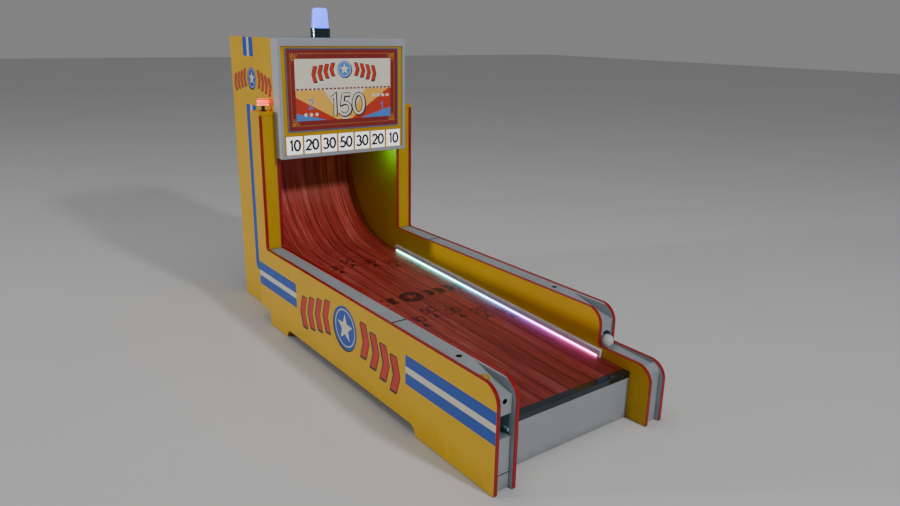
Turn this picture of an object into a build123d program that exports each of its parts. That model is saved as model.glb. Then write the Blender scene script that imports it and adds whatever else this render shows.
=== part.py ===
"""Roll-up alley ball game: a low wooden alley between two padded rails, a curved ramp that
climbs a tall cabinet, and a score head over the ramp.

Millimetres, +Z up. Everything is drawn with depth measured from the front of the rails
(depth runs along +Y) and is moved back by half the length when it is written, so the
origin ends up at the middle of the footprint, on the floor. The player stands at -Y.
"""

import os
from math import atan, cos, degrees, radians, sin, sqrt, tan

from build123d import *

os.makedirs("parts", exist_ok=True)

# Overall size
half_width = 545.0
length = 2890.0

# Side boards: laminated 19 mm board, an 82 mm channel between each pair
board = 19.5
channel = 82.0
inner_half = half_width - 2 * board - channel
tower_half = inner_half + board
channel_low = tower_half
channel_high = half_width - board
channel_mid = (channel_low + channel_high) / 2

# Side outline, as depth from the front and height above the floor
glide_height = 3.0
rail_top = 501.0
ledge_top = 310.0
step_front = 336.0
nose_radius = 90.0
column_front = 2236.0
column_back = 2365.5
column_top = 1351.0
cap_height = 19.0
arch_front = 577.0
arch_back = 1981.0
arch_top = 52.0
rear_foot_end = 2230.0
rear_skirt = 96.5
trim = 2.5
trim_round = 1.8
inner_corner = 14.0

# Tower and score head
tower_top = 1777.0
head_front = 2159.0
head_back = 2240.0
head_bottom = 1070.0
head_side = 21.0
head_sill = 20.0
head_lintel = 43.5
back_front = 2878.0
back_thickness = 8.0

# Alley and ramp
alley_front = 165.0
alley_front_top = 250.0
alley_slope = 2.5
plank = 8.0
deck = 18.0
plank_count = 10
plank_gap = 0.8
alley_end = 2235.0
ramp_radius = 550.0
ramp_wall = 2869.0
ramp_skin = 3.0
ramp_ply = 5.0
ramp_top = 1490.0

# Front end
kick_front = 123.0
kick_top = 219.5
kick_thickness = 12.0
nosing_back = 164.5

# Sheet-metal channel covers
sheet = 2.0
cover_top = 498.5
cover_gap = 0.25
cover_width = channel - 2 * cover_gap
left_seam = 803.0
right_seam = 1870.0
seam_gap = 3.0
left_face = 24.0
left_facet_start = 290.0
left_facet_end = 438.0
right_face = 344.0
right_facet_start = 650.0
right_facet_end = 430.0
pocket_low = 248.0
pocket_high = 352.0
door_axis_height = 83.5
key_hole_radius = 12.0
key_hole_height = 417.0

# Ball return
ball_radius = 35.0
track_depth = 334.0
track_floor = 289.0
track_slope = 2.6
track_sag = 12.0
track_front = 68.0
ball_hole_radius = 38.0
ball_hole_top = 376.5

clearance = 0.3
running = 0.05


def alley_height(depth):
    """Height of the alley's playing surface at a depth."""
    return alley_front_top + tan(radians(alley_slope)) * (depth - alley_front)


def track_height(depth):
    """Height of the lowest line of the return track at a depth."""
    return track_floor + tan(radians(track_slope)) * (depth - track_depth)


def save(node, *solids):
    """Write one node, moved so that the origin is under the middle of the footprint."""
    moved = [Pos(0, -length / 2, 0) * solid for solid in solids]
    parts = [solid for shape in moved for solid in shape.solids()]
    shape = parts[0] if len(parts) == 1 else Compound(children=parts)
    export_step(shape, f"parts/{node}.step")


def mirrored(shape):
    """The same piece on the other side of the centre line."""
    return mirror(shape, about=Plane.YZ)


def block(x_span, depth_span, height_span):
    """A plain box from its low and high limits on each axis."""
    low = (x_span[0], depth_span[0], height_span[0])
    high = (x_span[1], depth_span[1], height_span[1])
    size = [high[i] - low[i] for i in range(3)]
    centre = [(high[i] + low[i]) / 2 for i in range(3)]
    return Pos(*centre) * Box(*size)


def outline(*corners):
    """A closed face from (a, b) or (a, b, fillet radius) corners."""
    points = [corner[:2] for corner in corners]
    radii = [corner[2] if len(corner) > 2 else 0 for corner in corners]
    return make_face(FilletPolyline(*points, radius=radii, close=True))


def across(face, x_span):
    """Extrude a (depth, height) face across the machine."""
    return extrude(Plane.YZ.offset(x_span[0]) * face, x_span[1] - x_span[0])


def along(face, depth_span):
    """Extrude an (x, height) face from front to back."""
    return extrude(Plane.XZ.offset(-depth_span[0]) * face, depth_span[0] - depth_span[1])


def upright(x, depth, radius, low, high):
    """A vertical cylinder."""
    return Pos(x, depth, (low + high) / 2) * Cylinder(radius, high - low)


def crossbar(x_span, depth, height, radius):
    """A cylinder that lies across the machine."""
    middle = (x_span[0] + x_span[1]) / 2
    return Pos(middle, depth, height) * Rot(0, 90, 0) * Cylinder(radius, x_span[1] - x_span[0])


def bent_sheet(points, x_span, thickness=sheet, bend=3.0):
    """Sheet bent along a (depth, height) centre line and extruded across."""
    return across(trace(FilletPolyline(*points, radius=bend), thickness), x_span)


# ---------------------------------------------------------------- side boards


def rail_corners(stepped, top, foot_end):
    """Corners of a side board, set in by the trim where the edge moulding sits."""
    front = trim
    corners = [(front, glide_height)]
    if stepped:
        corners += [
            (front, ledge_top - trim, nose_radius - trim),
            (step_front + trim, ledge_top - trim, inner_corner),
            (step_front + trim, rail_top - trim, nose_radius - trim),
        ]
    else:
        corners += [(front, rail_top - trim, nose_radius - trim)]
    corners += [
        (column_front + trim, rail_top - trim, inner_corner),
        (column_front + trim, top),
        (column_back, top),
    ]
    if foot_end < column_back:
        corners += [
            (column_back, rear_skirt),
            (foot_end, rear_skirt),
        ]
    corners += [
        (foot_end, glide_height),
        (arch_back, glide_height),
        (arch_back, arch_top, arch_top - glide_height - 1),
        (arch_front, arch_top, arch_top - glide_height - 1),
        (arch_front, glide_height),
    ]
    return corners


def edge_moulding(face, top, x_span):
    """T-moulding cap that follows the front and upper edges of a side board."""
    band = offset(face, trim, kind=Kind.INTERSECTION) - face
    reach = column_front + 40
    front_edge = outline((-5, glide_height), (20, glide_height), (20, 300), (-5, 300))
    upper_edge = outline((-5, 200), (reach, 200), (reach, top), (-5, top))
    strip = across(band & (front_edge + upper_edge), x_span)
    rounded = [edge for edge in strip.edges() if on_outside(edge, face)]
    return fillet(rounded, trim_round)


def on_outside(edge, face):
    """True for an edge that runs along the exposed face of the moulding."""
    if abs((edge % 0.5).X) > 0.5:
        return False
    point = edge @ 0.5
    return face.distance_to(Vertex(point.Y, point.Z, 0)) > trim - 0.05


outer_span = (half_width - board, half_width)
inner_span = (inner_half, tower_half)
outer_top = column_top - cap_height
inner_top = head_bottom - clearance

for side, stepped in (("left", False), ("right", True)):
    outer_face = outline(*rail_corners(stepped, outer_top, rear_foot_end))
    inner_face = outline(*rail_corners(stepped, inner_top, column_back))
    nodes = {
        "outer_panel": [across(outer_face, outer_span)],
        "inner_panel": [across(inner_face, inner_span)],
        "mouldings": [
            edge_moulding(outer_face, outer_top, outer_span),
            edge_moulding(inner_face, inner_top, inner_span),
        ],
    }
    for name, pieces in nodes.items():
        if side == "left":
            pieces = [mirrored(piece) for piece in pieces]
        save(f"{side}_{name}", *pieces)


# ------------------------------------------------------------ channel covers

right_span = (channel_low + cover_gap, channel_high - cover_gap)
left_span = (-right_span[1], -right_span[0])
skin = sheet / 2
cover_line = cover_top - skin
facet_angle = atan((cover_top - left_facet_end) / (left_facet_start - left_face))

screw_depths = {"left": 331.0, "right": 731.0}
screw_radius = 10.0
shank_radius = 4.0
button_depth = 156.0
button_height = cover_top - (left_facet_start - button_depth) * tan(facet_angle)
button_place = Pos(-channel_mid, button_depth, button_height) * Rot(degrees(facet_angle), 0, 0)
button_sleeve = 18.0


def screw_bore(x, depth):
    """Hole for a cover screw."""
    return upright(x, depth, shank_radius, cover_top - 8, cover_top + 4)


def left_cover():
    """Front cover of the left rail: flat top, sloped facet, upright face, pocket lip."""
    line = [
        (left_seam, cover_line),
        (left_facet_start, cover_line),
        (left_face + skin, left_facet_end - skin),
        (left_face + skin, pocket_high + skin),
        (left_face + 12, pocket_high + skin),
    ]
    cover = bent_sheet(line, left_span)
    cover -= button_place * Cylinder(button_sleeve + clearance, 20)
    key_hole = Pos(-channel_mid, left_face, key_hole_height) * Rot(90, 0, 0)
    cover -= key_hole * Cylinder(key_hole_radius, 20)
    return cover - screw_bore(-channel_mid, screw_depths["left"])


def right_cover():
    """Front cover of the right rail: flat top, facet and a face with the ball opening."""
    line = [
        (right_seam, cover_line),
        (right_facet_start, cover_line),
        (right_face + skin, right_facet_end - skin),
        (right_face + skin, track_height(right_face) + track_sag + 2),
    ]
    cover = bent_sheet(line, right_span)
    arch_centre = ball_hole_top - ball_hole_radius
    opening = Pos(channel_mid, right_face, arch_centre) * Rot(90, 0, 0)
    cover -= opening * Cylinder(ball_hole_radius, 20)
    reach = (channel_mid - ball_hole_radius, channel_mid + ball_hole_radius)
    cover -= block(reach, (right_face - 9, right_face + 9), (250, arch_centre))
    return cover - screw_bore(channel_mid, screw_depths["right"])


def flat_cover(depth_span, x_span):
    """Rear cover of a rail, with its two edges turned down."""
    top = block(x_span, depth_span, (cover_top - sheet, cover_top))
    for edge in (x_span[0], x_span[1] - sheet):
        top += block((edge, edge + sheet), depth_span, (cover_top - 20, cover_top))
    return top


save("left_rail_cover", left_cover())
save("right_rail_cover", right_cover())
left_rear = flat_cover((left_seam + seam_gap, column_front), left_span)
right_rear = flat_cover((right_seam + seam_gap, column_front), right_span)
save("rear_rail_covers", left_rear, right_rear)

cover_screws = []
for x, side in ((-channel_mid, "left"), (channel_mid, "right")):
    depth = screw_depths[side]
    head = upright(x, depth, screw_radius, cover_top, cover_top + 1.5)
    shank = upright(x, depth, shank_radius, cover_top - 18, cover_top)
    cover_screws.append(head + shank)
save("rail_cover_screws", *cover_screws)

nose_line = [
    (track_front - 3, 262),
    (track_front - 3, 300),
    (left_face + 2 + skin, 272),
    (left_face + 2 + skin, glide_height + 1),
]
save("right_nose_cover", bent_sheet(nose_line, right_span))


# ------------------------------------------------- left front: pocket and door

pocket_depth = 108.0
knuckle = 3.5
pin_radius = 1.6
door_axis = left_face + skin
door_low = door_axis_height + knuckle + 1
toe_high = door_axis_height - knuckle - 1
door_span = (left_span[0] + 1, left_span[1] - 1)
knuckle_count = 5
knuckle_pitch = (door_span[1] - door_span[0]) / knuckle_count


def hinge_knuckle(index, sheet_edge):
    """One rolled knuckle and the tab that joins it to its sheet."""
    low = door_span[0] + index * knuckle_pitch + clearance / 2
    span = (low, low + knuckle_pitch - clearance)
    tab = block(span, (left_face, left_face + sheet), sorted((door_axis_height, sheet_edge)))
    barrel = crossbar(span, door_axis, door_axis_height, knuckle) + tab
    bore = crossbar(span, door_axis, door_axis_height, pin_radius + running)
    return barrel - bore


toe = block(left_span, (left_face, left_face + sheet), (glide_height + 1, toe_high))
door = block(door_span, (left_face, left_face + sheet), (door_low, pocket_low - 1))
return_flange = (left_face, left_face + 14)
door += block(door_span, return_flange, (pocket_low - 1 - sheet, pocket_low - 1))
for index in range(knuckle_count):
    if index % 2:
        door += hinge_knuckle(index, door_low)
    else:
        toe += hinge_knuckle(index, toe_high)
door_pin = crossbar(door_span, door_axis, door_axis_height, pin_radius)
save("left_toe_panel", toe + door_pin)
save("left_access_door", door)

latch_depth = 56.0
latch_height = 277.0
liner = 1.5
liner_x = (left_span[0], left_span[1])
liner_y = (left_face + 13, pocket_depth)
liner_z = (pocket_low, pocket_high - 0.5)
pocket = block(liner_x, liner_y, liner_z)
pocket -= block(
    (liner_x[0] + liner, liner_x[1] - liner),
    (liner_y[0] - 1, liner_y[1] - liner),
    (liner_z[0] + liner, liner_z[1] - liner),
)
slot_x = (liner_x[1] - 3, liner_x[1] + 1)
pocket -= block(slot_x, (latch_depth - 1, latch_depth + 5), (latch_height - 40, latch_height - 16))
stud_radius = 2.5
stud_span = (liner_x[1] - liner - 12, liner_x[1] - liner)
pocket += crossbar(stud_span, latch_depth, latch_height, stud_radius)
save("pocket_liner", pocket)

lever_span = (stud_span[0] + 3, stud_span[1] - clearance)
lever_face = outline((1, -4), (-15, -5, 2), (-19, -13, 1), (-25, -11, 2), (-20, 3, 4), (1, 5))
lever_face += Circle(6.5)
lever_face -= Circle(stud_radius + running)
save("pocket_latch", Pos(0, latch_depth, latch_height) * across(lever_face, lever_span))


# ---------------------------------------------------------------- start button

button_bore = 16.0
button_flange = 23.0
dome_radius = button_bore - clearance
flange = Pos(0, 0, 2.0) * Cylinder(button_flange, 4.0)
flange = fillet(flange.edges().group_by(Axis.Z)[-1], 1.5)
bezel = flange + Pos(0, 0, -14) * Cylinder(button_sleeve, 28.0)
bezel -= Pos(0, 0, -6) * Cylinder(button_bore, 24.0)
dome_sphere = 18.0
dome_base = 5.0
dome_centre = dome_base - sqrt(dome_sphere**2 - dome_radius**2)
dome = Pos(0, 0, dome_centre) * Sphere(dome_sphere)
dome &= Pos(0, 0, dome_base + 20) * Cylinder(dome_radius, 40.0)
dome += Pos(0, 0, dome_base / 2 - 5) * Cylinder(dome_radius, dome_base + 10)
save("start_button_bezel", button_place * bezel)
save("start_button", button_place * dome)


# ------------------------------------------------------------- columns and tower

column_x = (channel_low, channel_high)
cap_z = (column_top - cap_height, column_top)
cap_x = (tower_half, half_width)
front_board = (column_front + 6, column_front + 18)
back_board = (column_back - 12, column_back)
column_front_board = block(column_x, front_board, (rail_top - trim, cap_z[0]))
column_back_board = block(column_x, back_board, (rear_skirt, cap_z[0]))
cap = block(cap_x, (column_front, column_back), cap_z)
cap = fillet(cap.edges().filter_by(Axis.Y).sort_by(Axis.X)[-1:], 1.5)
column_boards = [column_front_board, column_back_board]
save("column_boards", *column_boards, *[mirrored(each) for each in column_boards])
save("column_caps", cap, mirrored(cap))

chute_depth = 2300.0
chute_height = 1119.0
chute_radius = 42.0
side_face = outline(
    (column_back, glide_height),
    (length, glide_height),
    (length, tower_top),
    (head_back, tower_top),
    (head_back, head_bottom),
    (column_back, head_bottom),
)
tower_side = across(side_face, inner_span)
chute_hole = crossbar((inner_half - 5, tower_half + 5), chute_depth, chute_height, chute_radius)
save("tower_left_side", mirrored(tower_side))
save("tower_right_side", tower_side - chute_hole)

inside = (-inner_half + cover_gap, inner_half - cover_gap)
save("tower_top", block(inside, (head_back, back_front), (tower_top - board, tower_top)))
base_z = (24.0, 43.0)
base = block(inside, (column_back + 10, back_front - 1), base_z)
for depth in (column_back + 10, back_front - 21):
    base += block(inside, (depth, depth + 20), (glide_height, base_z[0]))
save("tower_base", base)

# Rear panel with its service opening
door_half = 260.0
door_z = (120.0, 620.0)
door_y = (back_front, back_front + back_thickness)
rear_axis_x = -door_half
rear_axis_y = back_front + back_thickness
barrel = 4.0
rear_pin = 2.0
inlet_x = 330.0
inlet_z = 150.0
inlet_half = (26.0, 34.0)
back = block(inside, door_y, (glide_height, tower_top - board - 0.5))
back -= block((rear_axis_x - barrel - 1, door_half), (door_y[0] - 1, door_y[1] + 1), door_z)
back -= block(
    (inlet_x - inlet_half[0], inlet_x + inlet_half[0]),
    (door_y[0] - 1, door_y[1] + 1),
    (inlet_z - inlet_half[1], inlet_z + inlet_half[1]),
)
vent_z = 1600.0
for row in range(6):
    height = vent_z - row * 22
    back -= block((-120, 120), (door_y[0] - 1, door_y[1] + 1), (height, height + 8))
save("tower_back", back)

rear_door = block((rear_axis_x + barrel + 1, door_half - 1), door_y,
                  (door_z[0] + 1, door_z[1] - 1))
lock_x = door_half - 40
lock_z = (door_z[0] + door_z[1]) / 2
lock_radius = 9.0
lock_axis = Pos(lock_x, (door_y[0] + door_y[1]) / 2, lock_z) * Rot(90, 0, 0)
rear_door -= lock_axis * Cylinder(lock_radius + running, 30)
for row in range(5):
    height = door_z[1] - 70 - row * 22
    rear_door -= block((-90, 90), (door_y[0] - 1, door_y[1] + 1), (height, height + 8))

barrel_lock = lock_axis * Cylinder(lock_radius, back_thickness)
barrel_lock += Pos(lock_x, door_y[1] + 1.25, lock_z) * Rot(90, 0, 0) * Cylinder(12.0, 2.5)
barrel_lock += Pos(lock_x, door_y[0] - 6, lock_z) * Rot(90, 0, 0) * Cylinder(6.0, 12.0)
cam = block((lock_x - 8, lock_x + 8), (door_y[0] - 10, door_y[0] - 7), (lock_z - 52, lock_z + 8))
barrel_lock += fillet(cam.edges().filter_by(Axis.Y), 4.0)
key_slot = block((lock_x - 1, lock_x + 1), (door_y[1] + 0.5, door_y[1] + 3), (lock_z - 5, lock_z + 5))
save("rear_door_lock", barrel_lock - key_slot)

fixed_leaves = []
door_leaves = []
for low in (door_z[0] + 50, door_z[1] - 110):
    pin = upright(rear_axis_x, rear_axis_y, rear_pin, low, low + 60)
    for start in (low, low + 40):
        pin += upright(rear_axis_x, rear_axis_y, barrel, start, start + 20)
    leaf = block((rear_axis_x - 34, rear_axis_x), (rear_axis_y, rear_axis_y + 1.5), (low, low + 60))
    leaf -= block((rear_axis_x - 6, rear_axis_x + 1), (rear_axis_y - 1, rear_axis_y + 3),
                  (low + 19.5, low + 40.5))
    fixed_leaves.append(pin + leaf)
    middle = (low + 20 + clearance, low + 40 - clearance)
    moving = upright(rear_axis_x, rear_axis_y, barrel, *middle)
    moving += block((rear_axis_x, rear_axis_x + 6), (rear_axis_y, rear_axis_y + 1.5), middle)
    moving += block((rear_axis_x + 5.5, rear_axis_x + 34), (rear_axis_y, rear_axis_y + 1.5),
                    (low, low + 60))
    moving -= upright(rear_axis_x, rear_axis_y, rear_pin + running, *middle)
    door_leaves.append(moving)
save("rear_door_hinges", *fixed_leaves)
save("rear_door", rear_door, *door_leaves)

# Power inlet plate with a rocker switch
inlet_x_span = (inlet_x - inlet_half[0] - 8, inlet_x + inlet_half[0] + 8)
inlet_z_span = (inlet_z - inlet_half[1] - 8, inlet_z + inlet_half[1] + 8)
inlet = block(inlet_x_span, (door_y[1], door_y[1] + 2), inlet_z_span)
inlet += block(
    (inlet_x - inlet_half[0] + 1, inlet_x + inlet_half[0] - 1),
    (door_y[0] - 30, door_y[1]),
    (inlet_z - inlet_half[1] + 1, inlet_z + inlet_half[1] - 1),
)
socket_z = inlet_z + 12
socket_y = (door_y[1] - 16, door_y[1] + 3)
inlet -= block((inlet_x - 12, inlet_x + 12), socket_y, (socket_z - 8, socket_z + 8))
for x, height in ((inlet_x - 7, socket_z - 2), (inlet_x, socket_z + 3), (inlet_x + 7, socket_z - 2)):
    inlet += block((x - 1, x + 1), (door_y[1] - 17, door_y[1] - 3), (height - 2, height + 2))
rocker_z = inlet_z - 17
rocker_half = (9.5, 7.0)
rocker_y = door_y[1] - 1
rocker_boss = 5.0
inlet -= block(
    (inlet_x - rocker_half[0] - 0.5, inlet_x + rocker_half[0] + 0.5),
    (door_y[1] - 16, door_y[1] + 3),
    (rocker_z - rocker_half[1] - 1.2, rocker_z + rocker_half[1] + 1.2),
)
save("power_inlet", inlet)
rocker_face = outline(
    (rocker_y - 4, rocker_z - 5),
    (rocker_y - 4, rocker_z + 5),
    (rocker_y + 4.5, rocker_z + rocker_half[1]),
    (rocker_y + 2.5, rocker_z),
    (rocker_y + 4.5, rocker_z - rocker_half[1]),
)
rocker_face += Pos(rocker_y, rocker_z) * Circle(rocker_boss)
save("power_switch", across(rocker_face, (inlet_x - rocker_half[0], inlet_x + rocker_half[0])))


# ---------------------------------------------------------------- front end

across_alley = (-inner_half + 0.5, inner_half - 0.5)
save("kick_panel", block(across_alley, (kick_front, kick_front + kick_thickness),
                         (glide_height, kick_top)))
nosing_top = alley_front_top - 0.5
nosing_face = outline(
    (kick_front, kick_top),
    (kick_front, nosing_top, 2),
    (nosing_back, nosing_top),
    (nosing_back, nosing_top - 6),
    (kick_front + 6, nosing_top - 6),
    (kick_front + 6, kick_top),
)
save("alley_nosing", across(nosing_face, across_alley))


# ------------------------------------------------------------------ the alley

def alley_layer(top, thickness, start=alley_front, end=alley_end):
    """Side view of a sloping layer, its top face at a distance below the surface."""
    return outline(
        (start, alley_height(start) - top),
        (end, alley_height(end) - top),
        (end, alley_height(end) - top - thickness),
        (start, alley_height(start) - top - thickness),
    )


def plank_spans():
    """Widths of the boards: a half board at each wall and full boards between."""
    pitch = 2 * inner_half / plank_count
    edges = [-inner_half + 0.5] + [-inner_half + pitch * (i + 0.5) for i in range(plank_count)]
    edges.append(inner_half - 0.5)
    half_gap = plank_gap / 2
    return [(low + half_gap, high - half_gap) for low, high in zip(edges, edges[1:])]


alley_deck = across(alley_layer(plank, deck), across_alley)
save("alley_planks", *[across(alley_layer(0, plank), span) for span in plank_spans()])

bearers = []
for depth in (260, 900, 1540, 2180):
    high = alley_height(depth - 9) - plank - deck - clearance
    bearers.append(block(across_alley, (depth - 9, depth + 9), (arch_top + 20, high)))
save("alley_deck", alley_deck, *bearers)


def ramp_path(outset):
    """Side view of the ramp, a distance outside its playing surface."""
    drop = outset / cos(radians(alley_slope))
    wall = ramp_wall + outset
    start = alley_end + 0.5
    points = [
        (start, alley_height(start) - drop),
        (wall, alley_height(wall) - drop),
        (wall, ramp_top),
    ]
    return FilletPolyline(*points, radius=ramp_radius + outset)


ramp_skin_face = trace(ramp_path(ramp_skin / 2), ramp_skin)
ramp_ply_face = trace(ramp_path(ramp_skin + ramp_ply / 2), ramp_ply)
save("ramp_planks", *[across(ramp_skin_face, span) for span in plank_spans()])

above_ramp = make_face(
    ramp_path(ramp_skin + ramp_ply + clearance).edges()
    + Polyline(
        ramp_path(ramp_skin + ramp_ply + clearance) @ 1,
        (alley_end, ramp_top),
        ramp_path(ramp_skin + ramp_ply + clearance) @ 0,
    ).edges()
)
rib_face = outline(
    (column_back + 30, base_z[1]),
    (back_front - 60, base_z[1]),
    (back_front - 60, 1000),
    (column_back + 30, 1000),
) - above_ramp
rib_face -= outline((column_back + 80, base_z[1] + 60), (back_front - 120, base_z[1] + 60),
                    (back_front - 120, 330), (column_back + 80, 230))
ribs = [across(rib_face, (x - 9, x + 9)) for x in (-300, 300)]
save("ramp_deck", across(ramp_ply_face, across_alley), *ribs)

deflector_line = [
    (ramp_wall + 1.5, ramp_top + 1),
    (ramp_wall + 1.5, 1735),
    (2330, 1700),
]
deflector = FilletPolyline(*deflector_line, radius=190)
save("top_deflector", across(trace(deflector, 3.0), across_alley))


# ---------------------------------------------------------------- LED light bars

bar_start = 308.0
bar_end = 2232.0
bar_height = 39.0
bar_depth = 17.0
lens = 5.0
lens_top = 12.0
bar_cap = 18.0
bar_lift = 0.2


def light_bar():
    """Housing and glowing lens of the bar along one alley wall, built level then tilted."""
    run = (bar_end - bar_start) / cos(radians(alley_slope))
    wall = inner_half - cover_gap
    tip = wall - bar_depth
    section = outline(
        (tip + lens, 0),
        (wall, 0),
        (wall, bar_height),
        (tip, bar_height, 3),
        (tip, lens_top),
        (tip + lens, lens_top),
    )
    housing = along(section, (0, run))
    for low in (0, run - bar_cap):
        housing += block((tip, tip + lens + 1), (low, low + bar_cap), (0, lens_top + 1))
    glow = along(outline((tip + 0.5, 1.5), (tip + lens, 1.5), (tip + lens, lens_top),
                         (tip + 0.5, lens_top)), (bar_cap, run - bar_cap))
    tilt = Pos(0, bar_start, alley_height(bar_start) + bar_lift) * Rot(alley_slope, 0, 0)
    return tilt * housing, tilt * glow


housing, glow = light_bar()
save("led_housings", housing, mirrored(housing))
save("led_lenses", glow, mirrored(glow))


# ------------------------------------------------------------------- score head

head_outer = RectangleRounded(2 * tower_half, tower_top - head_bottom, 5)
opening_low = head_bottom + head_sill
opening_high = tower_top - head_lintel
head_middle = (head_bottom + tower_top) / 2
opening_middle = (opening_low + opening_high) / 2
opening = Rectangle(2 * (tower_half - head_side), opening_high - opening_low)
frame_face = Pos(0, head_middle) * head_outer - Pos(0, opening_middle) * opening
head_frame = along(frame_face, (head_front, head_back))
front_rim = head_frame.faces().sort_by(Axis.Y)[0].outer_wire().edges()
save("head_frame", fillet(front_rim, 3.0))

panel_y = (head_front + 10, head_front + 22)
panel_half = tower_half - head_side - cover_gap
bezel_half = 393.0
bezel_z = (1228.0, 1723.0)
bezel_rim = 8.0
bezel_round = 12.0
tile_pitch = 118.0
tile_width = 106.0
tile_z = (1093.0, 1203.0)
tile_count = 7
tile_xs = [(i - (tile_count - 1) / 2) * tile_pitch for i in range(tile_count)]

display = block((-panel_half, panel_half), panel_y, (opening_low + 0.2, opening_high - 0.2))
display -= block(
    (-bezel_half + bezel_rim, bezel_half - bezel_rim),
    (panel_y[0] - 1, panel_y[1] + 1),
    (bezel_z[0] + bezel_rim, bezel_z[1] - bezel_rim),
)
for x in tile_xs:
    display -= block((x - tile_width / 2, x + tile_width / 2), (panel_y[0] - 1, panel_y[1] + 1),
                     tile_z)
save("display_panel", display)

bezel_middle = (bezel_z[0] + bezel_z[1]) / 2
bezel_height = bezel_z[1] - bezel_z[0]
rim_outer = Pos(0, bezel_middle) * RectangleRounded(2 * bezel_half, bezel_height, bezel_round)
rim_inner = Pos(0, bezel_middle) * Rectangle(2 * (bezel_half - bezel_rim),
                                            bezel_height - 2 * bezel_rim)
rim = along(rim_outer - rim_inner, (panel_y[0] - 5, panel_y[0]))
save("screen_bezel", rim)
screen_half = bezel_half - bezel_rim - clearance
screen_z = (bezel_z[0] + bezel_rim + clearance, bezel_z[1] - bezel_rim - clearance)
save("screen", block((-screen_half, screen_half), (panel_y[0] - 2, panel_y[1]), screen_z))
save("monitor", block((-screen_half + 20, screen_half - 20), (panel_y[1] + 0.5, head_back + 20),
                      (screen_z[0] + 20, screen_z[1] - 20)))
tiles = [
    block((x - tile_width / 2 + clearance, x + tile_width / 2 - clearance),
          (panel_y[0] - 1, panel_y[1]), (tile_z[0] + clearance, tile_z[1] - clearance))
    for x in tile_xs
]
save("score_tiles", *tiles)

# Score pockets: open bins between two rails, over a gutter that runs to the right
bin_y = (2262.0, 2350.0)
bin_z = (1185.0, 1290.0)
bin_wall = 6.0
bins = block(across_alley, bin_y, bin_z)
bin_pitch = 2 * inner_half / tile_count
for i in range(tile_count):
    x = (i - (tile_count - 1) / 2) * bin_pitch
    half = (bin_pitch - bin_wall) / 2
    bins -= block((x - half, x + half), (bin_y[0] + 5, bin_y[1] - 5), (bin_z[0] - 1, bin_z[1] + 1))
save("score_bins", bins)

sensors = []
for i in range(tile_count):
    x = (i - (tile_count - 1) / 2) * bin_pitch
    sensors.append(block((x - 12, x + 12), (bin_y[0] - 14, bin_y[0]), (bin_z[0] + 30, bin_z[0] + 50)))
save("bin_sensors", *sensors)

gutter_tilt = 2.0
gutter_outer = outline((bin_y[0] - 8, 60), (bin_y[0] - 8, 0), (bin_y[1], 0), (bin_y[1], 60))
gutter_inner = outline((bin_y[0] - 5, 61), (bin_y[0] - 5, 3, 12), (bin_y[1] - 3, 3, 12),
                       (bin_y[1] - 3, 61))
gutter = across(gutter_outer - gutter_inner, (-inner_half + 4, inner_half - 4))
gutter = Pos(0, 0, head_bottom + 18) * Rot(0, gutter_tilt, 0) * gutter
save("ball_gutter", gutter)


# ------------------------------------------------------------------ ball return

def track_section():
    """Cross-section of the return track: a shallow arc with a flat underside rim."""
    half = cover_width / 2
    top = ThreePointArc((-half, track_sag), (0, 0), (half, track_sag))
    under = ThreePointArc((half, track_sag - sheet), (0, -sheet), (-half, track_sag - sheet))
    sides = [Line(top @ 1, under @ 0), Line(under @ 1, top @ 0)]
    return make_face([top, under, *sides])


def on_track(depth, lift):
    """Location on the track's centre line, square to it, at a height above the floor."""
    tilt = radians(track_slope)
    return Pos(channel_mid, depth - lift * sin(tilt), track_height(depth) + lift * cos(tilt))


track_run = (column_back - 14 - track_front) / cos(radians(track_slope))
track = along(track_section(), (0, track_run))
track = Pos(channel_mid, track_front, track_height(track_front)) * Rot(track_slope, 0, 0) * track
gate_depth = track_depth + (ball_radius + 0.25) * cos(radians(track_slope))
gate_radius = 3.0
gate_floor = track_height(gate_depth)
track -= upright(channel_mid, gate_depth, gate_radius + 0.4, gate_floor - 10, gate_floor + 10)
save("ball_return_track", track)

ball_lift = ball_radius + 0.15
ball_pitch = (2 * ball_radius + 0.5) * cos(radians(track_slope))
save("ball_1", on_track(track_depth, ball_lift) * Sphere(ball_radius))
save("ball_2", on_track(track_depth + ball_pitch, ball_lift) * Sphere(ball_radius))

solenoid_z = (gate_floor - 70, gate_floor - 24)
solenoid = block((channel_mid - 18, channel_mid + 18), (gate_depth - 18, gate_depth + 18), solenoid_z)
bracket_y = (gate_depth - 18, gate_depth + 18)
solenoid += block(right_span, bracket_y, (solenoid_z[1], solenoid_z[1] + 2))
solenoid -= upright(channel_mid, gate_depth, gate_radius + running, solenoid_z[0] - 1,
                    solenoid_z[1] + 3)
gate = upright(channel_mid, gate_depth, gate_radius, solenoid_z[0] - 22, gate_floor - 1)
gate += upright(channel_mid, gate_depth, 6.0, solenoid_z[0] - 22, solenoid_z[0] - 19)
save("gate_solenoid", solenoid)
save("ball_gate", gate)


# --------------------------------------------------------------- beacon and lamps

beacon_depth = 2473.0
beacon_base = (tower_top, tower_top + 58.0)
beacon_radius = 63.0
dome_low_radius = 55.5
dome_top_radius = 46.0
beacon_top = 1957.0
shell = 2.5

beacon_body = upright(0, beacon_depth, beacon_radius, *beacon_base)
beacon_body = fillet(beacon_body.edges().group_by(Axis.Z)[-1], 2.0)
beacon_body -= upright(0, beacon_depth, beacon_radius - 12, beacon_base[0] + 34, beacon_base[1] + 1)
save("beacon_base", beacon_body)

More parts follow.
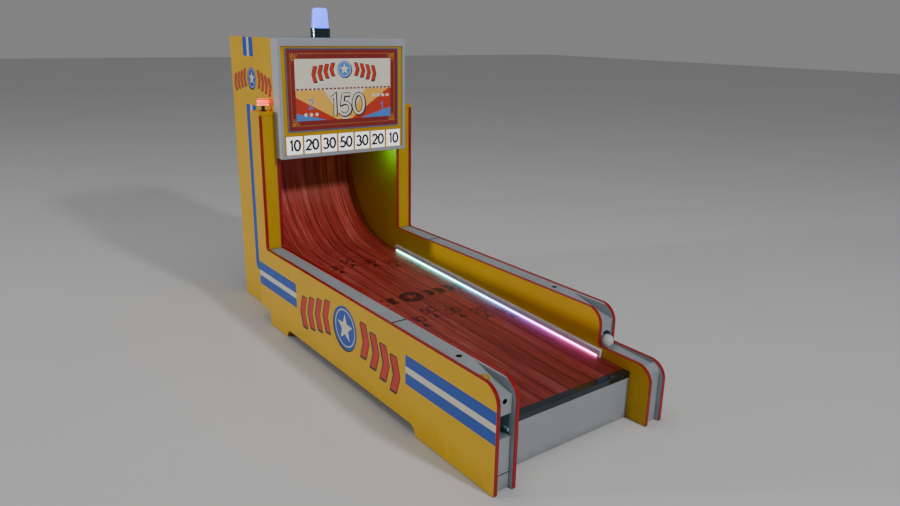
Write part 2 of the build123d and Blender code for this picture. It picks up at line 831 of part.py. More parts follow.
lamp_z = beacon_base[0] + 34
lamp_radius = 8.0
lamp_post = upright(0, beacon_depth, lamp_radius, lamp_z, lamp_z + 34)
lamp_post += upright(0, beacon_depth, lamp_radius + 3, lamp_z, lamp_z + 8)
bulb = Pos(0, beacon_depth, lamp_z + 52) * Sphere(13.0)
lamp_post += bulb + upright(0, beacon_depth, lamp_radius - 1, lamp_z + 34, lamp_z + 46)
save("beacon_lamp", lamp_post)

hub_z = (lamp_z + 12, lamp_z + 24)
reflector = upright(0, beacon_depth, 20.0, *hub_z)
bowl = Cylinder(34.0, 62.0) - Cylinder(32.0, 64.0)
bowl &= Pos(0, 30, 0) * Box(60, 40, 62)
reflector += Pos(0, beacon_depth, hub_z[0] + 31) * bowl
reflector += block((-10, 10), (beacon_depth + 15, beacon_depth + 33), (hub_z[0], hub_z[0] + 6))
reflector -= upright(0, beacon_depth, lamp_radius + running, hub_z[0] - 1, hub_z[1] + 1)
save("beacon_reflector", reflector)

dome_height = beacon_top - beacon_base[1]
dome_section = outline(
    (0, 0),
    (dome_low_radius, 0),
    (dome_top_radius, dome_height, 16),
    (0, dome_height),
)
dome_hollow = outline(
    (0, -1),
    (dome_low_radius - shell, -1),
    (dome_top_radius - shell, dome_height - shell, 14),
    (0, dome_height - shell),
)
beacon_dome = revolve(Plane.XZ * (dome_section - dome_hollow), Axis.Z)
save("beacon_dome", Pos(0, beacon_depth, beacon_base[1]) * beacon_dome)

strobe_x = -488.0
strobe_y = (column_front + column_back) / 2
strobe_radius = 36.0
strobe_height = 36.0
fin_count = 5
fin_pitch = strobe_height / fin_count
stem_high = column_top + 36
strobe_stem = upright(strobe_x, strobe_y, 21.0, column_top, column_top + 5)
strobe_stem += upright(strobe_x, strobe_y, 11.0, column_top + 5, stem_high - 4)
strobe_stem += upright(strobe_x, strobe_y, 24.0, stem_high - 4, stem_high)
save("strobe_base", strobe_stem)
strobe_lens = upright(strobe_x, strobe_y, strobe_radius - 3, stem_high, stem_high + strobe_height)
for fin in range(fin_count):
    low = stem_high + fin * fin_pitch
    strobe_lens += upright(strobe_x, strobe_y, strobe_radius, low, low + fin_pitch / 2)
save("strobe_lens", strobe_lens)

lamp_x = inner_half - 30
lamp_y = head_back - 22
under_lens = upright(lamp_x, lamp_y, 10.0, head_bottom - 8, head_bottom - 3)
under_lens = fillet(under_lens.edges().group_by(Axis.Z)[0], 3.0)
under_lamp = upright(lamp_x, lamp_y, 14.0, head_bottom - 3, head_bottom) + under_lens
save("underhead_lamps", under_lamp, mirrored(under_lamp))


# ----------------------------------------------------------------------- glides

glides = []
outer_mid = (outer_span[0] + outer_span[1]) / 2
inner_mid = (inner_span[0] + inner_span[1]) / 2
for depth in (60, arch_front - 60, arch_back + 60, rear_foot_end - 60):
    glides.append(upright(outer_mid, depth, 8.5, 0, glide_height))
for depth in (60, arch_front - 60, arch_back + 60, column_back + 100, length - 60):
    glides.append(upright(inner_mid, depth, 8.5, 0, glide_height))
save("floor_glides", *glides, *[mirrored(glide) for glide in glides])
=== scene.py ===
"""Looks for the roll-up alley game: node materials on every CAD part, printed vinyl and
screen art as thin raised pieces, lamps, a camera and a plain studio."""

import math

import bmesh
import bpy
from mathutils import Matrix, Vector


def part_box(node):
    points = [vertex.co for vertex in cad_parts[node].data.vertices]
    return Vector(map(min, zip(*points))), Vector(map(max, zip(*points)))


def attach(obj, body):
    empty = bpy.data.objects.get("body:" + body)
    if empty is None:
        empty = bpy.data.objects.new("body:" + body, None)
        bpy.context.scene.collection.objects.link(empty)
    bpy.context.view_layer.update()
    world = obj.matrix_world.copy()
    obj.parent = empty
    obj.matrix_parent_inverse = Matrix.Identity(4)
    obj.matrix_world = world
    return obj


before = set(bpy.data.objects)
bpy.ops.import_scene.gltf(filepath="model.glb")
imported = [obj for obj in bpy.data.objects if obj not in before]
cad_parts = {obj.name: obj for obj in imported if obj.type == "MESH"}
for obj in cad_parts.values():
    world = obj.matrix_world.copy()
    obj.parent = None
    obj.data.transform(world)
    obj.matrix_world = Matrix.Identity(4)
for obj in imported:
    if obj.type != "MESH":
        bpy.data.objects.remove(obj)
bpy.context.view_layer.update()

MM = 0.001
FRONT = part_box("left_mouldings")[0].y
OUTER_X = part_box("left_outer_panel")[0].x
TOWER_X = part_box("tower_left_side")[0].x
SCREEN_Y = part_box("screen")[0].y
TILE_LOW, TILE_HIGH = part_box("score_tiles")
PANEL_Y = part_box("display_panel")[0].y
COVER_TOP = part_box("rear_rail_covers")[1].z
STRIP_LOW, STRIP_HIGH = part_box("led_lenses")
LENS_LOW, LENS_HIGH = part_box("strobe_lens")
ALLEY_LOW, ALLEY_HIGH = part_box("alley_planks")
SLOPE = math.radians(2.5)
ALLEY_TOP = ALLEY_HIGH.z - (ALLEY_HIGH.y - ALLEY_LOW.y) * math.tan(SLOPE)

# The gray of a rail's channel goes this far into the boards on each side of it.
FACE_MARGIN = 0.0007
OUTER_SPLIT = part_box("right_outer_panel")[0].x + FACE_MARGIN
INNER_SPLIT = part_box("right_inner_panel")[1].x - FACE_MARGIN


def depth(millimetres):
    """Y of a point that far behind the front of the rails."""
    return FRONT + millimetres * MM


# ------------------------------------------------------------------- materials


def srgb(red, green, blue):
    """A display colour, 0 to 255, as the linear colour that a shader takes."""
    linear = []
    for value in (red, green, blue):
        value /= 255
        linear.append(value / 12.92 if value <= 0.04045 else ((value + 0.055) / 1.055) ** 2.4)
    return (*linear, 1.0)


class Look:
    """One node material, built around a Principled shader and object coordinates."""

    def __init__(self, name, **sockets):
        self.material = bpy.data.materials.new(name)
        self.material.use_nodes = True
        self.tree = self.material.node_tree
        self.shader = self.tree.nodes["Principled BSDF"]
        self.place = self.node("TexCoord").outputs["Object"]
        for socket, value in sockets.items():
            self.shader.inputs[socket.replace("_", " ")].default_value = value

    def node(self, kind, inputs=None, **attributes):
        """Add a node, with its attributes, and its inputs as values or links."""
        made = self.tree.nodes.new("ShaderNode" + kind)
        for name, value in attributes.items():
            setattr(made, name, value)
        for name, value in (inputs or {}).items():
            if isinstance(value, bpy.types.NodeSocket):
                self.tree.links.new(value, made.inputs[name])
            else:
                made.inputs[name].default_value = value
        return made

    def drive(self, socket, source):
        """Link a source to one of the shader's sockets."""
        self.tree.links.new(source, self.shader.inputs[socket])

    def stretched(self, scale):
        """Object coordinates with their own scale on each axis."""
        return self.node("Mapping", {"Vector": self.place, "Scale": scale}).outputs[0]

    def noise(self, scale, detail=4.0, roughness=0.55, stretch=(1, 1, 1)):
        """Noise over the surface, with features about 1 / scale metres across."""
        vector = self.stretched(stretch)
        inputs = {"Vector": vector, "Scale": scale, "Detail": detail, "Roughness": roughness}
        return self.node("TexNoise", inputs).outputs["Fac"]

    def span(self, source, low, high, first=0.0, second=1.0):
        """Map a source from one range to another, clamped."""
        inputs = {"Value": source, "From Min": low, "From Max": high,
                  "To Min": first, "To Max": second}
        return self.node("MapRange", inputs).outputs[0]

    def math(self, operation, first, second=0.0):
        """A math node."""
        return self.node("Math", {0: first, 1: second}, operation=operation).outputs[0]

    def axis(self, name):
        """One object coordinate."""
        return self.node("SeparateXYZ", {0: self.place}).outputs[name]

    def mix(self, factor, first, second, blend="MIX"):
        """Mix two colours."""
        made = self.node("Mix", {0: factor, 6: first, 7: second}, data_type="RGBA",
                         blend_type=blend)
        return made.outputs[2]

    def stops(self, source, colors):
        """A colour ramp from (position, colour) pairs."""
        made = self.node("ValToRGB", {0: source})
        elements = made.color_ramp.elements
        while len(elements) < len(colors):
            elements.new(0.5)
        for element, (position, color) in zip(elements, colors):
            element.position = position
            element.color = color
        return made.outputs[0]

    def bump(self, height, strength, distance):
        """Surface relief from a height."""
        inputs = {"Height": height, "Strength": strength, "Distance": distance}
        self.drive("Normal", self.node("Bump", inputs).outputs[0])

    def color(self, source):
        """Drive the base colour."""
        self.drive("Base Color", source)

    def glow(self, shade, emission):
        """Colour and glow of a lens, with a faint ripple in its face."""
        self.color(shade)
        self.drive("Emission Color", emission)
        self.bump(self.noise(300.0, 2.0), 0.08, 0.0004)

    def roughness(self, low, high, scale=9.0):
        """Uneven sheen: cleaner and duller patches."""
        self.drive("Roughness", self.span(self.noise(scale, 6.0), 0.3, 0.7, low, high))

    def scuffed(self, clean, dirty, ground=0.12, limit=0.8):
        """Fine scuffs all over, and more of them near the floor."""
        lowness = self.span(self.axis("Z"), 0.0, ground, 1.0, 0.0)
        marks = self.span(self.noise(34.0, 9.0, 0.7, (1, 1, 3)), 0.60, 0.74)
        patches = self.span(self.noise(20.0, 6.0), 0.35, 0.7)
        near_floor = self.math("MULTIPLY", lowness, patches)
        wear = self.math("ADD", self.math("MULTIPLY", marks, 0.16), near_floor)
        return self.mix(self.math("MINIMUM", wear, limit), clean, dirty)


def tinted(look, first, second, scale=5.0):
    """Slow drift between two close colours."""
    return look.mix(look.span(look.noise(scale, 3.0), 0.35, 0.65), first, second)


# Each tone set is clean colour, its slow drift, and its scuffs.
YELLOW = (srgb(202, 158, 4), srgb(196, 152, 2), srgb(150, 118, 28))
GRAY = (srgb(150, 155, 160), srgb(144, 149, 154), srgb(114, 117, 120))
TRIM = (srgb(162, 168, 176), srgb(157, 163, 171), srgb(128, 132, 136))
CHANNEL = (srgb(166, 179, 186), srgb(160, 173, 180), srgb(120, 128, 132))
BLACK = (srgb(14, 16, 18), srgb(20, 22, 24), srgb(52, 52, 52))
GLOSS = (srgb(66, 76, 82), srgb(60, 70, 76), srgb(84, 88, 92))
SCREW_AND_SHADE_BLACK = (srgb(5, 5, 6), srgb(8, 8, 9), srgb(24, 24, 24))
EDGE_RED = (srgb(156, 8, 16), srgb(144, 6, 12), srgb(110, 30, 30))
# Painted reflection: light blue for the chrome latch's teal highlights.
LATCH_REFLECTION_TONES = (srgb(168, 206, 228), srgb(160, 198, 220), srgb(130, 140, 150))
TEAL = (srgb(112, 138, 148), srgb(104, 130, 140), srgb(112, 124, 128))
HOUSING = (srgb(214, 214, 224), srgb(204, 204, 214), srgb(150, 150, 156))
BIRCH = (srgb(196, 160, 112), srgb(178, 140, 94), srgb(120, 92, 60))
BEZEL = (srgb(104, 116, 142), srgb(92, 104, 128), srgb(60, 60, 66))
RESIN = (srgb(198, 200, 202), srgb(188, 190, 192), srgb(150, 150, 150))
UNLIT = (0.0, 0.0, 0.0, 1.0)


def board_look(name, channel_side=None, split=0.0):
    """Yellow satin laminate; the face that looks into a rail's channel can be gray.

    channel_side is the math operation that picks that face by its distance from the middle."""
    look = Look(name, Specular_IOR_Level=0.3)
    color = look.scuffed(tinted(look, YELLOW[0], YELLOW[1], 3.0), YELLOW[2], limit=0.2)
    if channel_side:
        sideways = look.math("ABSOLUTE", look.axis("X"))
        gray = look.scuffed(tinted(look, CHANNEL[0], CHANNEL[1], 3.0), CHANNEL[2], limit=0.2)
        color = look.mix(look.math(channel_side, sideways, split), color, gray)
    look.color(color)
    look.roughness(0.34, 0.46)
    look.bump(look.noise(620.0, 2.0), 0.10, 0.0004)
    return look.material


def paint_look(name, tones, grain=900.0, rough=(0.38, 0.52), **sockets):
    """Powder coat or moulded plastic: fine orange peel, slow tone drift, light scuffs."""
    look = Look(name, **sockets)
    look.color(look.scuffed(tinted(look, tones[0], tones[1]), tones[2], 0.05, 0.5))
    look.roughness(*rough)
    look.bump(look.noise(grain, 3.0), 0.16, 0.0004)
    return look.material


def metal_look(name, tone, rough, brush=(1, 1, 30), **sockets):
    """Brushed, plated or polished metal."""
    look = Look(name, Metallic=1.0, **sockets)
    streaks = look.noise(90.0, 6.0, 0.6, brush)
    look.color(look.mix(look.span(streaks, 0.35, 0.65, 0.0, 0.25), tone, srgb(90, 92, 95)))
    look.drive("Roughness", look.span(streaks, 0.3, 0.7, rough[0], rough[1]))
    look.bump(streaks, 0.06, 0.0003)
    return look.material


BOARD_PITCH = 0.0848
GRAIN_TONES = [(0.34, srgb(160, 46, 40)), (0.45, srgb(186, 64, 57)),
               (0.54, srgb(206, 82, 74)), (0.66, srgb(238, 136, 126))]
BOARD_TINT = srgb(176, 120, 112)
PORE = srgb(106, 28, 20)
SEAM = srgb(40, 10, 8)
INK = srgb(26, 10, 9)
# Noise stretched along the boards, as (stretch, scale, detail): broad figure, fine grain, pores.
GRAIN_FIELDS = (((22, 1.0, 1.0), 1.7, 6.0), ((60, 1.6, 1.6), 4.0, 6.0), ((70, 3.0, 3.0), 9.0, 5.0))
# Painted shade: the boards are darkened towards the player, standing in for the alley getting less
# light than the ramp: (share of the way back, brightness).
PAINTED_SHADE_START = depth(300)
PAINTED_SHADE_END = depth(2700)
PAINTED_SHADE_STOPS = ((0.0, 0.40), (0.3, 0.50), (0.62, 0.58), (0.96, 1.0))
# A seam darkens from here to here, as a share of a board's pitch from its middle.
SEAM_EDGE = (0.452, 0.476)


def wood_base(look):
    """Colour of the varnished boards: tone by board, long grain, pores, dark seams, and painted shade
    that darkens them towards the player.
    """
    across = look.math("ADD", look.math("DIVIDE", look.axis("X"), BOARD_PITCH), 5.5)
    board = look.math("FLOOR", across)
    seed = look.node("CombineXYZ", {0: board, 1: 3.7})
    tone = look.node("TexWhiteNoise", {"Vector": seed.outputs[0]}, noise_dimensions="3D")
    shift = look.node("CombineXYZ", {0: look.math("MULTIPLY", board, 1.3),
                                     1: look.math("MULTIPLY", tone.outputs["Value"], 9.0)})
    shifted = look.node("VectorMath", {0: look.place, 1: shift.outputs[0]}, operation="ADD")
    fields = []
    for stretch, scale, detail in GRAIN_FIELDS:
        place = look.node("Mapping", {"Vector": shifted.outputs[0], "Scale": stretch})
        field = look.node("TexNoise", {"Vector": place.outputs[0], "Scale": scale,
                                       "Detail": detail, "Roughness": 0.6})
        fields.append(field.outputs["Fac"])
    broad, fine, pores = fields
    grain = look.math("ADD", look.math("MULTIPLY", broad, 0.55), look.math("MULTIPLY", fine, 0.45))
    color = look.stops(grain, GRAIN_TONES)
    toned = look.span(tone.outputs["Value"], 0.0, 1.0, 0.0, 0.5)
    color = look.mix(toned, color, BOARD_TINT, "MULTIPLY")
    dark = look.span(pores, 0.58, 0.74, 0.0, 0.35)
    color = look.mix(dark, color, PORE)
    # Painted shade: the boards darken towards the player.
    along = look.span(look.axis("Y"), PAINTED_SHADE_START, PAINTED_SHADE_END)
    painted_shade = look.stops(along, [(share, (value, value, value, 1.0)) for share, value in PAINTED_SHADE_STOPS])
    color = look.mix(1.0, color, painted_shade, "MULTIPLY")
    edge = look.math("ABSOLUTE", look.math("SUBTRACT", look.math("FRACT", across), 0.5))
    joint = look.node("CombineXYZ", {0: look.math("ROUND", across), 1: 8.1})
    joint_tone = look.node("TexWhiteNoise", {"Vector": joint.outputs[0]}, noise_dimensions="3D")
    seam_strength = look.span(joint_tone.outputs["Value"], 0.0, 1.0, 0.5, 0.95)
    seam = look.math("MULTIPLY", look.span(edge, *SEAM_EDGE), seam_strength)
    return look.mix(seam, color, SEAM), grain, pores


def wood_look(name, inked=False):
    """Varnished board, or the same board under translucent ink."""
    look = Look(name, Specular_IOR_Level=0.2)
    color, grain, pores = wood_base(look)
    if inked:
        worn = look.span(look.noise(60.0, 8.0, 0.7, (3, 0.6, 0.6)), 0.38, 0.62, 0.74, 0.96)
        color = look.mix(worn, color, INK)
    look.color(color)
    look.drive("Roughness", look.span(grain, 0.3, 0.7, 0.30, 0.44))
    look.bump(pores, 0.12, 0.0006)
    return look.material


def glow_look(name, tint, strength, **sockets):
    """A lit lens: coloured plastic with a soft, slightly uneven glow."""
    look = Look(name, Roughness=0.25, Emission_Strength=strength, **sockets)
    uneven = look.span(look.noise(40.0, 3.0), 0.3, 0.7, 0.0, 0.35)
    shade = look.mix(uneven, tint, tuple(0.75 * value for value in tint[:3]) + (1.0,))
    look.glow(shade, shade)
    return look.material


def vinyl_look(name, tone, dark, lit=0.0):
    """Printed vinyl or lit print: slight mottling, print grain and a satin face."""
    look = Look(name, Emission_Strength=lit)
    shade = look.mix(look.span(look.noise(14.0, 5.0), 0.35, 0.7, 0.0, 0.5), tone, dark)
    look.color(shade)
    if lit:
        look.drive("Emission Color", shade)
    look.roughness(0.32, 0.44, 20.0)
    look.bump(look.noise(1400.0, 2.0), 0.08, 0.0002)
    return look.material


STRIP_RUN = [(0.0, (1.0, 0.06, 0.42, 1)), (0.12, (0.95, 0.07, 0.70, 1)),
             (0.24, (0.50, 0.10, 1.0, 1)), (0.38, (0.16, 0.28, 1.0, 1)),
             (0.55, (0.10, 0.70, 1.0, 1)), (0.78, (0.08, 1.0, 0.76, 1)),
             (1.0, (0.12, 1.0, 0.60, 1))]
# The strip's bright core ends between these heights above its lower edge.
CORE_FADE = (0.0055, 0.0070)


def light_bar_look():
    """Frosted strip lit in a run of colours from the player's end to the ramp."""
    look = Look("strip_glow", Roughness=0.3, Emission_Strength=26.0)
    along = look.span(look.axis("Y"), STRIP_LOW.y, STRIP_HIGH.y)
    run = look.stops(along, STRIP_RUN)
    diodes = look.node("TexWave", {"Vector": look.place, "Scale": 30.0, "Distortion": 0.0},
                       bands_direction="Y")
    shade = look.mix(look.span(diodes.outputs["Fac"], 0.0, 1.0, 0.0, 0.12), run, (1, 1, 1, 1))
    back = look.math("SUBTRACT", look.axis("Y"), STRIP_LOW.y)
    rise = look.math("MULTIPLY", back, math.tan(SLOPE))
    above = look.math("SUBTRACT", look.math("SUBTRACT", look.axis("Z"), STRIP_LOW.z), rise)
    dimmed = look.mix(0.9, shade, UNLIT)
    look.color(shade)
    look.drive("Emission Color", look.mix(look.span(above, *CORE_FADE), shade, dimmed))
    look.bump(look.noise(500.0, 2.0), 0.08, 0.0003)
    return look.material


STROBE_FINS = 3
STROBE_GROOVE = srgb(96, 6, 6)
STROBE_BRIGHT = srgb(255, 92, 74)


def strobe_look():
    """Red lens: bright fins with darker grooves between them."""
    look = Look("strobe_red", Roughness=0.25, Emission_Strength=3.4)
    turns = look.span(look.axis("Z"), LENS_LOW.z, LENS_HIGH.z, 0.0, STROBE_FINS * math.tau)
    fins = look.span(look.math("SINE", turns), -0.6, 0.6)
    shade = look.mix(fins, STROBE_GROOVE, STROBE_BRIGHT)
    look.glow(shade, shade)
    return look.material


def right_lamp_look():
    """Green lens, of which only the lamp on the player's right is lit."""
    look = Look("lamp_green", Roughness=0.25, Emission_Strength=14.0)
    uneven = look.span(look.noise(40.0, 3.0), 0.3, 0.7)
    shade = look.mix(uneven, srgb(90, 255, 60), srgb(80, 235, 52))
    on_the_right = look.math("GREATER_THAN", look.axis("X"), 0.0)
    look.glow(shade, look.mix(on_the_right, UNLIT, shade))
    return look.material


yellow_outer = board_look("yellow_laminate", "LESS_THAN", OUTER_SPLIT)
yellow_inner = board_look("yellow_laminate_inner", "GREATER_THAN", INNER_SPLIT)
yellow_plain = board_look("yellow_board")
gray = paint_look("gray_powder_coat", GRAY)
trim = paint_look("light_gray_powder_coat", TRIM, 700.0)
black_gloss = paint_look("black_gloss", GLOSS, 300.0, (0.08, 0.14), Metallic=0.8)
# This black also colours the strips of painted shade over the cover seams and the toe gap.
screw_black_and_painted_shade = paint_look("screw_black_and_painted_shade", SCREW_AND_SHADE_BLACK, 900.0, (0.5, 0.65), Specular_IOR_Level=0.08)
# The latch is chrome: its light blue paint is a painted reflection of the teal highlights it shows.
latch_painted_reflection = paint_look("latch_painted_teal_reflection", LATCH_REFLECTION_TONES, 500.0, (0.2, 0.3))
pocket_teal = paint_look("pocket_lining", TEAL, 700.0)
black_matte = paint_look("black_moulded", BLACK, 1100.0, (0.5, 0.7))
steel = metal_look("zinc_steel", srgb(176, 178, 180), (0.28, 0.48))
chrome = metal_look("chrome", srgb(214, 216, 220), (0.06, 0.16))
housing = paint_look("strip_housing", HOUSING, 600.0, (0.35, 0.5))
red_edge = paint_look("red_edge_moulding", EDGE_RED, 260.0, (0.26, 0.38), Specular_IOR_Level=0.4)
boards = wood_look("red_varnished_boards")
ink = wood_look("inked_boards", inked=True)
ply = paint_look("birch_plywood", BIRCH, 240.0)
bezel = paint_look("screen_bezel_gray", BEZEL, 900.0, (0.25, 0.4))
resin = paint_look("ball_resin", RESIN, 120.0, (0.16, 0.3), Coat_Weight=0.4)
rubber = paint_look("glide_rubber", BLACK, 500.0, (0.7, 0.9))
tile_white = vinyl_look("lit_tile", srgb(242, 240, 238), srgb(232, 230, 228), 0.95)
screen_dash = vinyl_look("screen_dash", srgb(112, 20, 22), srgb(98, 16, 18), 0.2)
screen_red = vinyl_look("screen_red", srgb(120, 24, 22), srgb(104, 18, 18), 0.25)
screen_cream = vinyl_look("screen_cream", srgb(206, 198, 184), srgb(196, 188, 174), 0.30)
screen_sun = vinyl_look("screen_sun", srgb(214, 164, 66), srgb(204, 152, 58), 0.30)
screen_fire = vinyl_look("screen_fire", srgb(172, 44, 20), srgb(158, 36, 16), 0.30)
screen_blue = vinyl_look("screen_blue", srgb(62, 116, 184), srgb(54, 104, 170), 0.30)
screen_gold = vinyl_look("screen_gold", srgb(176, 124, 40), srgb(150, 100, 30), 0.20)
print_blue = vinyl_look("vinyl_blue", srgb(8, 66, 156), srgb(6, 58, 142))
print_cream = vinyl_look("vinyl_cream", srgb(200, 196, 176), srgb(190, 184, 164))
print_red = vinyl_look("vinyl_red", srgb(184, 34, 26), srgb(168, 28, 22))
print_dark = vinyl_look("vinyl_dark", srgb(20, 24, 34), srgb(28, 32, 42))
dome_blue = glow_look("beacon_blue", srgb(86, 114, 255), 1.8, Transmission_Weight=0.25,
                      Coat_Weight=0.5)
lens_red = strobe_look()
lens_green = right_lamp_look()
button_glow = glow_look("button_yellow", srgb(172, 140, 14), 0.03, Coat_Weight=0.3)

LOOKS = {
    yellow_outer: ("left_outer_panel", "right_outer_panel"),
    yellow_inner: ("left_inner_panel", "right_inner_panel"),
    yellow_plain: ("tower_left_side", "tower_right_side", "column_boards", "column_caps",
                   "display_panel"),
    red_edge: ("left_mouldings", "right_mouldings"),
    gray: ("left_rail_cover", "right_rail_cover", "rear_rail_covers", "right_nose_cover",
           "left_toe_panel", "left_access_door", "ball_return_track", "kick_panel", "tower_top"),
    trim: ("head_frame",),
    pocket_teal: ("pocket_liner",),
    bezel: ("screen_bezel",),
    black_gloss: ("alley_nosing", "beacon_base", "power_switch"),
    screw_black_and_painted_shade: ("rail_cover_screws",),
    black_matte: ("tower_back", "rear_door", "power_inlet", "monitor", "top_deflector",
                  "bin_sensors", "ball_gutter", "strobe_base"),
    steel: ("rear_door_hinges", "gate_solenoid", "ball_gate"),
    latch_painted_reflection: ("pocket_latch",),
    chrome: ("rear_door_lock", "beacon_lamp", "beacon_reflector"),
    housing: ("led_housings",),
    light_bar_look(): ("led_lenses",),
    boards: ("alley_planks", "ramp_planks"),
    ply: ("alley_deck", "ramp_deck", "tower_base", "score_bins"),
    resin: ("ball_1", "ball_2"),
    rubber: ("floor_glides",),
    tile_white: ("score_tiles",),
    screen_red: ("screen",),
    dome_blue: ("beacon_dome",),
    lens_red: ("strobe_lens",),
    lens_green: ("underhead_lamps",),
    button_glow: ("start_button", "start_button_bezel"),
}
for look, names in LOOKS.items():
    for name in names:
        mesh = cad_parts[name].data
        mesh.materials.clear()
        mesh.materials.append(look)


# --------------------------------------------------------------- printed pieces

# Thickness of one printed layer.
PRINT = 0.0003


def on_side(x, sign):
    """Surface facing sideways: (depth, height) in millimetres, lifted off the board."""
    return lambda a, b, lift: Vector((sign * (abs(x) + lift), depth(a), b * MM))


def on_front(y):
    """Surface facing the player: (x, height) in millimetres."""
    return lambda a, b, lift: Vector((a * MM, y - lift, b * MM))


def on_alley(a, b, lift):
    """The sloping alley: (x, depth) in millimetres."""
    y = depth(b)
    height = ALLEY_TOP + (y - ALLEY_LOW.y) * math.tan(SLOPE)
    return Vector((a * MM, y, height + lift))


def on_cover(a, b, lift):
    """The flat top of the rail covers: (x, depth) in millimetres."""
    return Vector((a * MM, depth(b), COVER_TOP + lift))


def printed(name, shapes, surface, look, base=0.0):
    """Thin raised print: every shape becomes a face with a low wall around it."""
    mesh = bpy.data.meshes.new(name)
    made = bmesh.new()
    for shape in shapes:
        top = [made.verts.new(surface(a, b, base + PRINT)) for a, b in shape]
        foot = [made.verts.new(surface(a, b, base)) for a, b in shape]
        made.faces.new(top)
        for i in range(len(shape)):
            j = (i + 1) % len(shape)
            made.faces.new((top[i], foot[i], foot[j], top[j]))
    bmesh.ops.recalc_face_normals(made, faces=made.faces)
    made.to_mesh(mesh)
    made.free()
    mesh.materials.append(look)
    piece = bpy.data.objects.new(name, mesh)
    bpy.context.scene.collection.objects.link(piece)
    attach(piece, "cabinet")


def moved(shape, x, y):
    """A shape shifted."""
    return [(x + a, y + b) for a, b in shape]


def rectangle(low, high):
    """Corners of a rectangle."""
    return [(low[0], low[1]), (high[0], low[1]), (high[0], high[1]), (low[0], high[1])]


def arc(centre, radii, start, end, steps=24):
    """Points on an ellipse, angles in degrees."""
    points = []
    for i in range(steps + 1):
        angle = math.radians(start + (end - start) * i / steps)
        points.append((centre[0] + radii[0] * math.cos(angle),
                       centre[1] + radii[1] * math.sin(angle)))
    return points


def disc(x, y, radius, steps=64):
    """A round shape."""
    return arc((x, y), (radius, radius), 0, 360, steps)[:-1]


def star(x, y, radius):
    """A five-pointed star."""
    points = []
    for i in range(10):
        reach = radius if i % 2 == 0 else radius * 0.42
        angle = math.radians(90 + 36 * i)
        points.append((x + reach * math.cos(angle), y + reach * math.sin(angle)))
    return points


def ribbon(path, width):
    """A band of even width along a path, with mitred corners."""
    left, right = [], []
    for i, point in enumerate(path):
        before = Vector(path[max(i - 1, 0)])
        after = Vector(path[min(i + 1, len(path) - 1)])
        here = Vector(point)
        first = (here - before).normalized() if i else (after - here).normalized()
        last = (after - here).normalized() if i < len(path) - 1 else first
        bisector = (first + last).normalized()
        normal = Vector((-bisector.y, bisector.x))
        reach = width / 2 / max(bisector.dot(first), 0.5)
        left.append(tuple(here + normal * reach))
        right.append(tuple(here - normal * reach))
    return left + right[::-1]


# Pen paths of plain digits, one unit tall.
STROKES = {
    "0": [arc((0.29, 0.5), (0.25, 0.46), 86, 274),
          arc((0.29, 0.5), (0.25, 0.46), 266, 454)],
    "1": [[(0.14, 0.80), (0.30, 0.95), (0.30, 0.0)]],
    "2": [arc((0.28, 0.71), (0.23, 0.24), 170, -38) + [(0.05, 0.045), (0.54, 0.045)]],
    "3": [arc((0.26, 0.735), (0.20, 0.22), 155, -80),
          arc((0.26, 0.27), (0.24, 0.25), 80, -155)],
    "5": [[(0.50, 0.955), (0.17, 0.955)],
          [(0.19, 0.98)] + arc((0.25, 0.30), (0.26, 0.28), 118, -150)],
}
DIGIT_STEP = {"0": 0.64, "1": 0.50, "2": 0.64, "3": 0.64, "5": 0.64}
DIGIT_GAP = 0.06


def digits(number, centre, height, weight, wide):
    """Shapes of a number, centred on a point; weight is the pen's share of the height."""
    x, y = centre
    shapes = []
    at = -(sum(DIGIT_STEP[digit] for digit in number) - DIGIT_GAP) / 2
    for digit in number:
        for path in STROKES[digit]:
            shapes.append([(x + (at + a) * height * wide, y + (b - 0.5) * height)
                           for a, b in ribbon(path, weight)])
        at += DIGIT_STEP[digit]
    return shapes


BAR_COUNT = 4


def speed_bars(x, y, first, last, height, grow, droop=0.0, inset=0.0):
    """Bars that point outward on both sides of a badge, growing and drooping outward."""
    pitch = (last - first) / BAR_COUNT
    shapes = []
    for side in (-1, 1):
        for i in range(BAR_COUNT):
            share = i / (BAR_COUNT - 1)
            half = height / 2 * (1 + grow * share) - 1.4 * inset
            middle = y - droop * share
            near = first + pitch * i + inset
            far = first + pitch * (i + 0.62) - inset
            point = min(half * 0.35, pitch * 0.34)
            outline = [(near, middle - half), (far, middle - half), (far + point, middle),
                       (far, middle + half), (near, middle + half), (near + point, middle)]
            shapes.append([(x + side * a, b) for a, b in outline])
    return shapes


VINYL = (print_blue, print_cream, print_red)
LIT = (screen_blue, screen_cream, screen_fire)


def badge(tag, surface, x, y, radius, reach, colors=VINYL, base=0.0, grow=0.0):
    """Star roundel with outlined speed bars on each side, over a dark shadow."""
    blue, cream, red = colors
    bars = {"first": radius * 1.32, "last": reach, "height": radius * 1.6, "grow": grow,
            "droop": radius * 0.55}
    offset = radius * 0.07
    shadow = speed_bars(x + offset, y - offset, **bars)
    shadow.append(disc(x + offset, y - offset, radius * 1.03))
    printed(tag + "_badge_shadow", shadow, surface, print_dark, base)
    printed(tag + "_badge_outline", speed_bars(x, y, **bars), surface, print_dark, base + PRINT)
    printed(tag + "_badge_bars", speed_bars(x, y, inset=radius * 0.035, **bars), surface, red,
            base + 2 * PRINT)
    printed(tag + "_badge_disc", [disc(x, y, radius)], surface, blue, base + PRINT)
    rim = [ribbon(arc((x, y), (radius * 0.84,) * 2, start, start + 180), radius * 0.05)
           for start in (0, 180)]
    printed(tag + "_badge_rim", rim, surface, cream, base + 2 * PRINT)
    printed(tag + "_badge_star", [star(x, y, radius * 0.66)], surface, cream, base + 2 * PRINT)


# Heights of the edges of the bands: blue, cream, blue. Depths at which the bands start and stop.
BAND = (243.0, 302.5, 336.0, 394.5)
LEFT_BAND_START = 3.5
RIGHT_BAND_START = 352.0
FRONT_BAND_STOP = 658.5
REAR_BAND = (1827.0, 2364.5)


